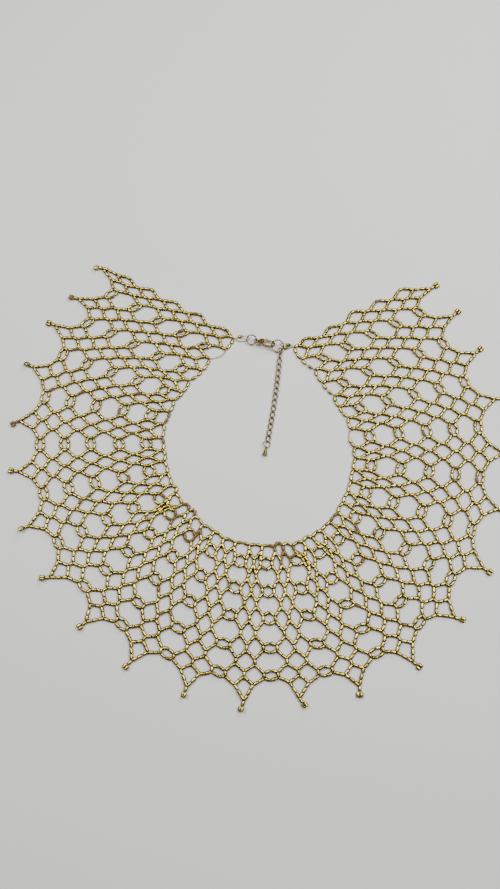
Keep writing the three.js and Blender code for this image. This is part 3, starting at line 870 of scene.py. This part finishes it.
print(len(beads[panel_name(0)]), "beads in the first mesh")

# %% Make the strings of beads
def finished(name, mesh, material, body, slot, *nodes):
    mesh.materials.clear()
    mesh.materials.append(material)
    piece = in_scene(name, mesh)
    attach(piece, body)
    if nodes:
        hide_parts(*nodes)
    return piece


def weighted_normals(piece):
    modifier = piece.modifiers.new("even_shading", "WEIGHTED_NORMAL")
    modifier.keep_sharp = True


strings = {panel_name(s): f"net_panel_{s + 1:02d}" for s in SECTORS}
strings |= {"neck_beads": "neck_edge"} | {name: loop["node"] for name, loop in END_LOOPS.items()}
for name, node in strings.items():
    mesh = bead_mesh(name, beads[name])
    weighted_normals(finished(name, mesh, BEAD_GOLD, "collar", "gold_beads", node))
print(sum(len(strung) for strung in beads.values()), "beads made")

# %% [markdown]
# ## The thread
#
# The thread shows between the beads and at every junction. A curve with a small round
# bevel follows each run through the bores, and all the runs of a sector are one piece.

# %% Run the thread through the beads
THREAD_RADIUS = 0.28


def to_mesh(bm, name):
    mesh = bpy.data.meshes.new(name)
    bm.to_mesh(mesh)
    bm.free()
    mesh.polygons.foreach_set("use_smooth", [True] * len(mesh.polygons))
    return mesh


def curve_mesh(name, lines, radius, sides, cyclic=False):
    """A round wire along each line of points, in millimetres, as a mesh in metres."""
    curve = bpy.data.curves.new(name, "CURVE")
    curve.dimensions = "3D"
    curve.bevel_depth = radius * MM
    curve.bevel_resolution = sides
    curve.use_fill_caps = not cyclic
    for line in lines:
        spline = curve.splines.new("POLY")
        spline.points.add(len(line) - 1)
        for given, target in zip(line, spline.points):
            target.co = (*(given * MM), 1)
        spline.use_cyclic_u = cyclic
    holder = bpy.data.objects.new(name, curve)
    swept = bpy.data.meshes.new_from_object(holder)
    bm = bmesh.new()
    bm.from_mesh(swept)
    bpy.data.objects.remove(holder)
    bpy.data.curves.remove(curve)
    bpy.data.meshes.remove(swept)
    bmesh.ops.remove_doubles(bm, verts=bm.verts, dist=TINY * MM)
    bmesh.ops.recalc_face_normals(bm, faces=bm.faces)
    return to_mesh(bm, name)


for name, lines in runs.items():
    mesh = curve_mesh("thread_" + name, lines, THREAD_RADIUS, sides=0)
    finished("thread_" + name, mesh, THREAD, "collar", "gold_beads")
print(sum(len(lines) for lines in runs.values()), "runs of thread")

# %% [markdown]
# ## Jump rings
#
# A jump ring is a bent piece of round wire whose two ends meet at a fine slit, which is
# where it is twisted open to take a link. We sweep a circle along an arc that stops just
# short of a full turn, and leave the slit at the side, away from what the ring holds.

# %% Jump rings
RING_WIRE = 0.42
RING_STEPS = 40
JUMP_RINGS = {
    "jump_ring_left": dict(radius=3.1, tilt=34, slit_at=250),
    "jump_ring_right": dict(radius=3.75, tilt=29, slit_at=215),
}
SLIT = 5  # degrees


def middle_of(node):
    low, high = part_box(node)
    return (low + high) / 2 / MM


def arc(radius, start, sweep, steps):
    """Points on a circle about the origin. start and sweep are in degrees."""
    turns = (math.radians(start + sweep * k / steps) for k in range(steps + 1))
    return [Vector((radius * math.cos(turn), radius * math.sin(turn), 0)) for turn in turns]


for name, ring in JUMP_RINGS.items():
    tilt = Matrix.Rotation(math.radians(ring["tilt"]), 4, "X")
    lying = frame_at(middle_of(name), clasp_way, UP) @ tilt
    bent = arc(ring["radius"], ring["slit_at"] + SLIT / 2, 360 - SLIT, RING_STEPS)
    mesh = curve_mesh(name, [[lying @ spot for spot in bent]], RING_WIRE, sides=3)
    finished(name.replace("jump_", "split_"), mesh, CHAIN_BRASS, "collar", "chain_brass", name)
print("two jump rings of", 2 * RING_WIRE, "mm wire")

# %% [markdown]
# ## The extender chain
#
# The chain is curb chain: every link is an oval of wire that has been twisted, so that its
# two ends are rolled opposite ways about its length. The links then nest and the chain
# lies flat. Only the first two links, which hang from the jump ring, and the last one are
# rolled differently. Each new link takes its place from the link of the frame.

# %% Chain links
LINK_WIRE = 0.37
LINK_STEPS = 32
LINK_COUNT = 16
CHAIN_BEARINGS = (265.5, 258.5)  # of the first and the last link, in degrees
CURB_LINK = dict(half_length=2.51, half_width=1.325, rolls=(-45, 45))
SPECIAL_LINKS = {
    0: dict(half_length=2.1, half_width=1.6, rolls=(-32, -32)),
    1: dict(half_length=2.2, half_width=1.2, rolls=(65, 60)),
    LINK_COUNT - 1: CURB_LINK | dict(rolls=(-45, 68)),
}


def mixed(pair, share):
    return pair[0] + (pair[1] - pair[0]) * share


def link_line(half_length, half_width, rolls):
    """An oval along X, rolled by the first angle at its back end and the second at its front."""
    line = []
    for k in range(LINK_STEPS):
        turn = math.tau * k / LINK_STEPS
        roll = math.radians(mixed(rolls, (1 + math.cos(turn)) / 2))
        along, side = half_length * math.cos(turn), half_width * math.sin(turn)
        line.append(Vector((along, side * math.cos(roll), side * math.sin(roll))))
    return line


def chain_frame(node, share):
    bearing = math.radians(mixed(CHAIN_BEARINGS, share))
    return Matrix.Translation(middle_of(node)) @ Matrix.Rotation(bearing, 4, "Z")


for index in range(LINK_COUNT):
    node = f"chain_link_{index + 1:02d}"
    lying = chain_frame(node, index / LINK_COUNT)
    line = [lying @ spot for spot in link_line(**SPECIAL_LINKS.get(index, CURB_LINK))]
    mesh = curve_mesh(node, [line], LINK_WIRE, sides=3, cyclic=True)
    finished(f"curb_link_{index + 1:02d}", mesh, CHAIN_BRASS, "collar", "chain_brass", node)
print(LINK_COUNT, "links of", 2 * LINK_WIRE, "mm wire")

# %% [markdown]
# ## End ring and drop
#
# The chain ends in a soldered ring, and a small solid cone lies on the table below it.
# The cone is turned on a lathe: we draw half of its outline, with a rounded rim and a
# slightly domed foot, and spin it. Its wire eye is closed round the ring.

# %% End ring
END_RING_RADIUS = 2.15
END_RING_WIRE = 0.35
END_RING_TILT = 22  # degrees


def circle(radius, steps):
    return arc(radius, 0, 360 * (1 - 1 / steps), steps - 1)


ring_frame = chain_frame("end_ring", 1)
lying = ring_frame @ Matrix.Rotation(math.radians(-END_RING_TILT), 4, "X")
line = [lying @ spot for spot in circle(END_RING_RADIUS, RING_STEPS)]
mesh = curve_mesh("soldered_ring", [line], END_RING_WIRE, sides=3, cyclic=True)
finished("soldered_ring", mesh, CHAIN_BRASS, "collar", "chain_brass", "end_ring")
print("end ring", 2 * END_RING_RADIUS, "mm across its wire's middle")

# %% Drop
DROP_EYE_RADIUS = 0.85
DROP_EYE_WIRE = 0.2
DROP_EYE_STEPS = 24
DROP_RISE = 5  # degrees that the narrow end is raised
DROP_SIDES = 32
# Half outline of the cone: distance along its axis from the narrow end, and radius.
DROP_OUTLINE = [(0, 0), (0, 0.5), (0.12, 0.64), (0.5, 0.72), (1.6, 0.92), (2.7, 1.15), (3.6, 1.36),
                (4.1, 1.5), (4.32, 1.6), (4.45, 1.62), (4.53, 1.54), (4.58, 1.3), (4.6, 0)]

rise = Matrix.Rotation(math.radians(-DROP_RISE), 4, "Y")
eye_frame = ring_frame @ Matrix.Translation((END_RING_RADIUS, 0, 0)) @ rise
bm = spun([(along, 0, radius) for along, radius in DROP_OUTLINE], (1, 0, 0), DROP_SIDES)
below_eye = eye_frame @ Matrix.Translation((DROP_EYE_RADIUS, 0, 0))
bmesh.ops.transform(bm, matrix=Matrix.Scale(MM, 4) @ below_eye, verts=bm.verts)
upright = eye_frame @ Matrix.Rotation(math.pi / 2, 4, "X")
line = [upright @ spot for spot in circle(DROP_EYE_RADIUS, DROP_EYE_STEPS)]
eye = curve_mesh("drop_eye", [line], DROP_EYE_WIRE, sides=2, cyclic=True)
bm.from_mesh(eye)
bpy.data.meshes.remove(eye)
mesh = to_mesh(bm, "cone_drop")
weighted_normals(finished("cone_drop", mesh, CLASP_GOLD, "collar", "clasp_gold", "drop"))
print("drop", DROP_OUTLINE[-1][0], "mm long")

# %% [markdown]
# ## The clasp
#
# A lobster clasp is a small casting. Its body is one curved hook that swells into a fork
# round the lever's root and ends in the eye for the jump ring. We cut each part as a flat
# outline with smooth curves, round its rims, and fuse the parts. Then the slot for the
# lever is sawn through the fork and the pin is driven across it, in the same order as at
# the bench. All of it is made flat, along +X from the eye, and placed at the end.

# %% Outlines and plates
OUTLINE_STEPS = 5
RIM_STEPS = 3


def outline(start, *curves):
    """A closed outline: each of the curves runs smoothly through its points."""
    spots = [Vector(start)]
    for curve in curves:
        through = [spots[-1]] + [Vector(spot) for spot in curve]
        last = len(through) - 1
        for i in range(last):
            around = [through[min(max(i + step, 0), last)] for step in (-1, 0, 1, 2)]
            spots += [bent_between(*around, (k + 1) / OUTLINE_STEPS) for k in range(OUTLINE_STEPS)]
    if (spots[-1] - spots[0]).length < TINY:
        spots.pop()
    return spots


def plate(spots, thickness, rim):
    """A flat piece centred on the clasp's middle plane, with both rims rounded."""
    bm = bmesh.new()
    face = bm.faces.new([bm.verts.new((x, y, -thickness / 2)) for x, y in spots])
    grown = bmesh.ops.extrude_face_region(bm, geom=[face])
    top = [item for item in grown["geom"] if isinstance(item, bmesh.types.BMVert)]
    bmesh.ops.translate(bm, vec=(0, 0, thickness), verts=top)
    bmesh.ops.recalc_face_normals(bm, faces=bm.faces)
    if rim:
        rims = [edge for edge in bm.edges if abs(edge.verts[0].co.z - edge.verts[1].co.z) < TINY]
        bmesh.ops.bevel(bm, geom=rims, offset=rim, offset_type="OFFSET", segments=RIM_STEPS,
                        profile=0.5, affect="EDGES", material=-1, clamp_overlap=True)
    return bm


def disc(middle, radius, thickness, rim=0, sides=32):
    spots = [(middle[0] + radius * math.cos(math.tau * k / sides),
              middle[1] + radius * math.sin(math.tau * k / sides)) for k in range(sides)]
    return plate(spots, thickness, rim)


def block(low, high):
    bm = bmesh.new()
    bmesh.ops.create_cube(bm, size=1)
    size = Vector(high) - Vector(low)
    bmesh.ops.scale(bm, vec=size, verts=bm.verts)
    bmesh.ops.translate(bm, vec=Vector(low) + size / 2, verts=bm.verts)
    return bm


print("outlines have", OUTLINE_STEPS, "steps from point to point")

# %% Fusing and sawing
SHARP_ANGLE = math.radians(38)


def fused(name, base, *steps):
    """Fuses solids to the base (UNION) or cuts them away (DIFFERENCE), in order."""
    body = in_scene(name, to_mesh(base, name))
    tools = []
    for operation, solid in steps:
        tool = in_scene("tool", to_mesh(solid, "tool"))
        modifier = body.modifiers.new(operation.lower(), "BOOLEAN")
        modifier.operation = operation
        modifier.solver = "EXACT"
        modifier.object = tool
        tools.append(tool)
    result = body.evaluated_get(bpy.context.evaluated_depsgraph_get())
    mesh = bpy.data.meshes.new_from_object(result)
    mesh.name = name
    for item in (body, *tools):
        old = item.data
        bpy.data.objects.remove(item)
        bpy.data.meshes.remove(old)
    mesh.transform(Matrix.Scale(MM, 4) @ CLASP_FRAME)
    mesh.set_sharp_from_angle(angle=SHARP_ANGLE)
    return mesh


print("edges over", round(math.degrees(SHARP_ANGLE)), "degrees stay sharp")

# %% Clasp body
CLASP_THICKNESS = 1.4
FORK_THICKNESS = 2.4  # over the two cheeks that hold the pin
FORK_SLOT = 1.2
SLOT_LENGTH = 4
EYE_RADIUS = 1.6
EYE_HOLE_RADIUS = 1.05
EYE_THICKNESS = 0.9
PIN_RADIUS = 0.45
PIN_PROUD = 0.15  # how far each end of the pin stands out of its cheek
LEVER_EYE_RADIUS = 1
RUNNING_GAP = 0.3
HOOK = outline(
    (1.2, -0.95),
    [(4.4, -2.5), (6.9, -3), (9.4, -2.7), (11.4, -1.5), (12.4, 0.1), (12, 1.5), (11, 2.5),
     (9.55, 2.95)],
    [(9.5, 1.95), (10.5, 1.65), (11.2, 0.9), (11.4, -0.05), (10.7, -1.2), (9, -1.8), (6.9, -1.95),
     (5.5, -1.6), (4.85, -0.8), (4.75, 0.3), (4.8, 1.2), (4.9, 2.3)],
    [(3.8, 2.4), (2.4, 1.9), (1.2, 0.95)],
)
FORK = outline((2.2, -1), [(3.6, -1.2), (4.5, -0.7), (4.8, 0.4), (4.9, 2.3)],
               [(3.8, 2.45), (2.7, 2.1), (2.1, 1.3), (2.2, -1)])

slot_radius = LEVER_EYE_RADIUS + RUNNING_GAP
clasp_body = fused(
    "clasp_hook",
    plate(HOOK, CLASP_THICKNESS, rim=0.38),
    ("UNION", plate(FORK, FORK_THICKNESS, rim=0.28)),
    ("UNION", disc((0, 0), EYE_RADIUS, EYE_THICKNESS, rim=0.2)),
    ("DIFFERENCE", disc((0, 0), EYE_HOLE_RADIUS, FORK_THICKNESS)),
    ("DIFFERENCE", disc(PIN_AT, slot_radius, FORK_SLOT)),
    ("DIFFERENCE", block((PIN_AT[0], PIN_AT[1] - slot_radius, -FORK_SLOT / 2),
                         (PIN_AT[0] + SLOT_LENGTH, PIN_AT[1] + slot_radius, FORK_SLOT / 2))),
    ("UNION", disc(PIN_AT, PIN_RADIUS, FORK_THICKNESS + 2 * PIN_PROUD, rim=0.12, sides=20)),
)
piece = finished("clasp_hook", clasp_body, CLASP_GOLD, "collar", "clasp_gold", "clasp_body")
weighted_normals(piece)
print("clasp body:", len(clasp_body.polygons), "faces")

# %% [markdown]
# The lever closes the hook's mouth. Its root is thin enough to turn in the slot, its arm
# is as thick as the hook, and a small knob stands out from its back for the thumbnail.

# %% Clasp lever
LEVER_EYE_THICKNESS = 0.6
LEVER_HOLE_RADIUS = 0.55
LEVER = outline((4, 0.7), [(5.4, 1.75), (7.4, 1.85), (9.15, 1.95)],
                [(9.15, 2.95), (7.4, 2.95), (5.4, 2.85), (3.6, 2.2)])
THICK_FROM = 5.35  # from here to its tip the lever is as thick as the hook
KNOB_AT = (6, 3.75)
KNOB_RADIUS = 0.65
KNOB_SHAPE = (1, 1.6, 0.9)

knob = bmesh.new()
bmesh.ops.create_uvsphere(knob, u_segments=20, v_segments=12, radius=KNOB_RADIUS)
bmesh.ops.scale(knob, vec=KNOB_SHAPE, verts=knob.verts)
bmesh.ops.translate(knob, vec=(*KNOB_AT, 0), verts=knob.verts)
arm = plate(LEVER, CLASP_THICKNESS, rim=0.25)
cut = bmesh.ops.bisect_plane(arm, geom=arm.verts[:] + arm.edges[:] + arm.faces[:],
                             plane_co=(THICK_FROM, 0, 0), plane_no=(1, 0, 0), clear_inner=True)
open_edges = [item for item in cut["geom_cut"] if isinstance(item, bmesh.types.BMEdge)]
bmesh.ops.holes_fill(arm, edges=open_edges)
bmesh.ops.recalc_face_normals(arm, faces=arm.faces)
lever_mesh = fused(
    "lever_arm",
    plate(LEVER, LEVER_EYE_THICKNESS, rim=0),
    ("UNION", disc(PIN_AT, LEVER_EYE_RADIUS, LEVER_EYE_THICKNESS)),
    ("UNION", arm),
    ("UNION", knob),
    ("DIFFERENCE", disc(PIN_AT, LEVER_HOLE_RADIUS, FORK_THICKNESS)),
)
# The lever wears the paler gold: a painted highlight where it catches the light.
piece = finished("lever_arm", lever_mesh, LEVER_HIGHLIGHT_GOLD, "lever", "lever_gold", "clasp_lever")
weighted_normals(piece)
print("lever:", len(lever_mesh.polygons), "faces")

# %% [markdown]
# ## Table and light
#
# A plain pale table and soft studio light: two small softboxes high up, one on either side
# and a little behind the middle, and a third one further back for the two arms of the
# collar. Each draws a short bright streak along the beads that lie across it, so the netting
# glitters, and a dim even world keeps the shaded sides from going black.

# %% Table
TABLE_SIZE = 3.0
TABLE_COLOUR = (0.72, 0.71, 0.69, 1)

bm = bmesh.new()
bmesh.ops.create_grid(bm, x_segments=1, y_segments=1, size=TABLE_SIZE / 2)
table = in_scene("table", to_mesh(bm, "table"))
material, tree, shader = new_material("table", metallic=0.0)
fill(tree, shader, {"Base Color": TABLE_COLOUR, "Roughness": 0.8})
table.data.materials.append(material)
print("the table is", TABLE_SIZE, "m wide")

# %% Lights and world
# Each softbox faces the origin. Metres and watts.
SOFTBOXES = {
    "key": dict(place=(0.45, 0.08, 0.85), size=0.4, power=7),
    "fill": dict(place=(-0.4, 0.22, 0.85), size=0.4, power=6.5),
    "rear": dict(place=(0.35, 0.6, 0.6), size=0.5, power=4),
}

for name, box in SOFTBOXES.items():
    light = bpy.data.lights.new(name, "AREA")
    light.size = box["size"]
    light.energy = box["power"]
    lamp = in_scene(name, light)
    lamp.location = box["place"]
    lamp.rotation_mode = "QUATERNION"
    lamp.rotation_quaternion = (-lamp.location).to_track_quat("-Z", "Y")

world = bpy.data.worlds.new("studio")
world.use_nodes = True
tree = world.node_tree
fill(tree, tree.nodes["Background"], {"Color": (0.9, 0.93, 1, 1), "Strength": 0.12})
bpy.context.scene.world = world
print(len(SOFTBOXES), "softboxes")
